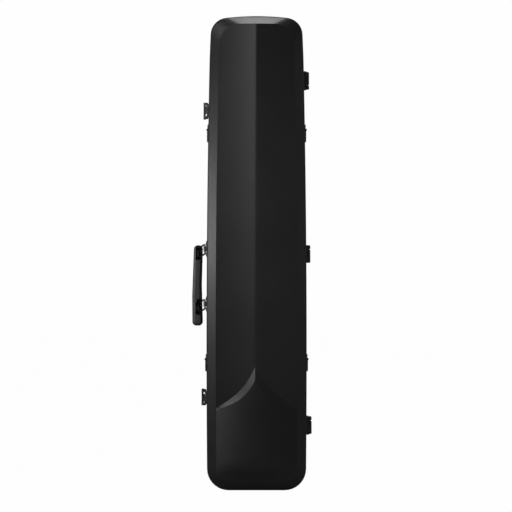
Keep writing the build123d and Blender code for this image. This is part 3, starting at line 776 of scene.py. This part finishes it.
class CASE_OT_flap(bpy.types.Operator):
    """The plush flap over the rosin pocket, with soft edges"""

    bl_idname = "erhu_case.flap"
    bl_label = "Rosin flap"

    def execute(self, context):
        flap = soft_copy("rosin_flap", "plush_flap", FLAP_GRAIN, FLAP_ROUNDS, "rosin_flap")
        paint(flap, "short_plush")
        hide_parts("rosin_flap")
        return {"FINISHED"}


STRAP_STEPS = 44
STRAP_EDGE = ((-1, 0.0), (-0.97, 0.7), (-0.9, 1.0), (0.9, 1.0), (0.97, 0.7), (1, 0.0))
STRAP_FOLD_FROM = 0.78
STRAP_SINGLE = 0.62


class CASE_OT_strap(bpy.types.Operator):
    """The webbing strap that ties the neck down, thicker at its two ends"""

    bl_idname = "erhu_case.strap"
    bl_label = "Neck strap"

    def execute(self, context):
        low, high = (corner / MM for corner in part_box("neck_strap"))
        thick = context.scene.erhu_case.soft.strap_thick
        middle = (low + high) / 2
        half_x, half_z = (high.x - low.x) / 2, (high.z - low.z) / 2
        section = [*STRAP_EDGE, *((side, -up) for side, up in STRAP_EDGE[-2:0:-1])]
        points, rings = [], []
        for k in range(STRAP_STEPS + 1):
            share = -1 + 2 * k / STRAP_STEPS
            fold = 1.0 if abs(share) > STRAP_FOLD_FROM else STRAP_SINGLE
            rings.append(list(range(len(points), len(points) + len(section))))
            for side, up in section:
                y = middle.y - up * thick / 2 * fold
                points.append((middle.x + share * half_x, y, middle.z + side * half_z))
        faces = quads_between(rings, True)
        faces += [tuple(rings[0][::-1]), tuple(rings[-1])]
        strap = piece_from("neck_webbing", points, faces, "case_back")
        paint(strap, "woven_webbing")
        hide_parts("neck_strap")
        return {"FINISHED"}


NODE_FINISHES = (
    (
        "matt_coating",
        ("_leaf", "_base", "_lever", "_catch", "_keeper", "_bracket", "_rim", "_rivets"),
    ),
    ("plain_steel", ("_hinge_pin", "_latch_pins")),
    ("dark_wire", ("_ring", "_bail")),
    ("stippled_grip", ("handle_grip",)),
    ("soft_rubber", ("rim_seal",)),
    ("moulded_fitting", ("_bow_post", "_bow_button")),
)


class CASE_OT_fittings(bpy.types.Operator):
    """Finishes on the hinges, latches, handle, rings, rims, seal, rivets and bow holders"""

    bl_idname = "erhu_case.fittings"
    bl_label = "Fittings"

    def execute(self, context):
        for name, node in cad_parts.items():
            if node.hide_render:
                continue
            finish = next((f for f, endings in NODE_FINISHES if name.endswith(endings)), None)
            if finish is None:
                raise RuntimeError(f"no finish is named for {name}")
            paint(node, finish)
        return {"FINISHED"}


FLOOR_HALF = 12.0
FLOOR_GREY = 0.5
FLOOR_ROUGHNESS = 0.9
FLOOR_GLOW = 0.985
WORLD_SEEN = 0.99
WORLD_LIGHT = 0.28
WHITE = (1, 1, 1, 1)
CAMERA_REACH = 50

# Each lamp's name, place, aim, width, height, power and beam angle, in metres, watts and degrees
STUDIO_LAMPS = (
    ("front_key", (-1.9, -2.7, 1.1), (0, 0, 0.57), 0.8, 0.8, 2.3, 22),
    ("left_lamp", (-0.90, -0.28, 0.50), (-0.09, 0, 0.48), 0.2, 0.2, 0.62, 70),
    ("arch_lamp", (-1.25, -0.8, 1.7), (-0.02, 0, 0.19), 0.5, 0.5, 0.75, 40),
    ("top_lamp", (0.0, 0.10, 1.95), (0, -0.04, 0.87), 0.2, 0.2, 0.42, 40),
    ("right_strip", (1.7, -0.5, 0.55), (0.09, 0, 0.5), 0.3, 1.0, 1.2, 180),
)


class CASE_OT_studio(bpy.types.Operator):
    """A pale floor and surroundings, soft lights and the camera"""

    bl_idname = "erhu_case.studio"
    bl_label = "Studio"

    def floor(self, context):
        """A wide pale floor; above it the camera sees the pale world, from every side."""
        points = [(x, y, 0.0) for x, y in ((-1, -1), (1, -1), (1, 1), (-1, 1))]
        mesh = bpy.data.meshes.new("pale_floor")
        mesh.from_pydata([Vector(p) * FLOOR_HALF for p in points], [], [(0, 1, 2, 3)])
        sheet = bpy.data.objects.new("pale_floor", mesh)
        context.scene.collection.objects.link(sheet)
        material, tree, shader = tree_of("pale_paper")
        shader.inputs["Roughness"].default_value = FLOOR_ROUGHNESS
        shader.inputs["Specular IOR Level"].default_value = 0.0
        shader.inputs["Base Color"].default_value = (FLOOR_GREY, FLOOR_GREY, FLOOR_GREY, 1)
        glow = tree.nodes.new("ShaderNodeEmission")
        mix = tree.nodes.new("ShaderNodeMixShader")
        path = tree.nodes.new("ShaderNodeLightPath")
        share = tree.nodes.new("ShaderNodeMath")
        share.operation = "MULTIPLY"
        share.inputs[1].default_value = FLOOR_GLOW
        out = next(n for n in tree.nodes if n.type == "OUTPUT_MATERIAL")
        tree.links.new(path.outputs["Is Camera Ray"], share.inputs[0])
        tree.links.new(share.outputs[0], mix.inputs[0])
        tree.links.new(shader.outputs[0], mix.inputs[1])
        tree.links.new(glow.outputs[0], mix.inputs[2])
        tree.links.new(mix.outputs[0], out.inputs["Surface"])
        mesh.materials.append(material)

    def lamp(self, context, name, place, aim, width, height, power, beam):
        """A rectangular lamp that points at its aim; a small beam angle gathers its light."""
        light = bpy.data.lights.new(name, "AREA")
        light.shape = "RECTANGLE"
        light.size, light.size_y = width, height
        light.energy = power
        light.spread = math.radians(beam)
        lamp = bpy.data.objects.new(name, light)
        lamp.location = place
        lamp.rotation_euler = (Vector(aim) - Vector(place)).to_track_quat("-Z", "Y").to_euler()
        context.scene.collection.objects.link(lamp)

    def execute(self, context):
        scene = context.scene
        studio = scene.erhu_case.studio
        scene.view_settings.view_transform = "Standard"
        world = scene.world or bpy.data.worlds.new("studio")
        scene.world = world
        world.use_nodes = True
        tree = world.node_tree
        room = next(n for n in tree.nodes if n.type == "BACKGROUND")
        room.inputs["Color"].default_value = WHITE
        room.inputs["Strength"].default_value = WORLD_LIGHT
        seen = tree.nodes.new("ShaderNodeBackground")
        seen.inputs["Color"].default_value = WHITE
        seen.inputs["Strength"].default_value = WORLD_SEEN
        mix = tree.nodes.new("ShaderNodeMixShader")
        path = tree.nodes.new("ShaderNodeLightPath")
        out = next(n for n in tree.nodes if n.type == "OUTPUT_WORLD")
        tree.links.new(path.outputs["Is Camera Ray"], mix.inputs[0])
        tree.links.new(room.outputs[0], mix.inputs[1])
        tree.links.new(seen.outputs[0], mix.inputs[2])
        tree.links.new(mix.outputs[0], out.inputs["Surface"])
        self.floor(context)
        for settings in STUDIO_LAMPS:
            self.lamp(context, *settings)
        camera = bpy.data.cameras.new("camera")
        view = bpy.data.objects.new("camera", camera)
        camera.lens = camera.sensor_width * studio.distance / studio.width
        camera.clip_end = CAMERA_REACH
        view.location = (studio.across, SEAM_Y * MM - studio.distance, studio.height)
        view.rotation_euler = (math.radians(90), 0, 0)
        scene.collection.objects.link(view)
        scene.camera = view
        return {"FINISHED"}


class ErhuCase(bpy.types.PropertyGroup):
    """Everything that a user would change."""

    shell: PointerProperty(type=ShellSizes)
    arch: PointerProperty(type=ArchSizes)
    soft: PointerProperty(type=SoftSizes)
    colours: PointerProperty(type=FinishColours)
    studio: PointerProperty(type=StudioSizes)


STEPS = (
    "studio",
    "lid_shell",
    "back_shell",
    "padding",
    "flap",
    "strap",
    "fittings",
)


class CASE_PT_panel(bpy.types.Panel):
    """Lists the steps, with the sizes and colours that they use"""

    bl_idname = "CASE_PT_panel"
    bl_label = "Erhu Case"
    bl_space_type = "VIEW_3D"
    bl_region_type = "UI"
    bl_category = "Erhu Case"

    def draw(self, context):
        column = self.layout.column()
        for step in STEPS:
            column.operator(f"erhu_case.{step}")
        case = context.scene.erhu_case
        for group in (case.shell, case.arch, case.soft, case.colours, case.studio):
            box = self.layout.box()
            for name in group.bl_rna.properties.keys():
                if name not in {"rna_type", "name"}:
                    box.prop(group, name)


CLASSES = (
    ShellSizes,
    ArchSizes,
    SoftSizes,
    FinishColours,
    StudioSizes,
    ErhuCase,
    CASE_OT_studio,
    CASE_OT_lid_shell,
    CASE_OT_back_shell,
    CASE_OT_padding,
    CASE_OT_flap,
    CASE_OT_strap,
    CASE_OT_fittings,
    CASE_PT_panel,
)


def register():
    for item in CLASSES:
        bpy.utils.register_class(item)
    bpy.types.Scene.erhu_case = PointerProperty(type=ErhuCase)


def unregister():
    del bpy.types.Scene.erhu_case
    for item in reversed(CLASSES):
        bpy.utils.unregister_class(item)


def main():
    register()
    for step in STEPS:
        getattr(bpy.ops.erhu_case, step)()


if __name__ == "__main__":
    main()
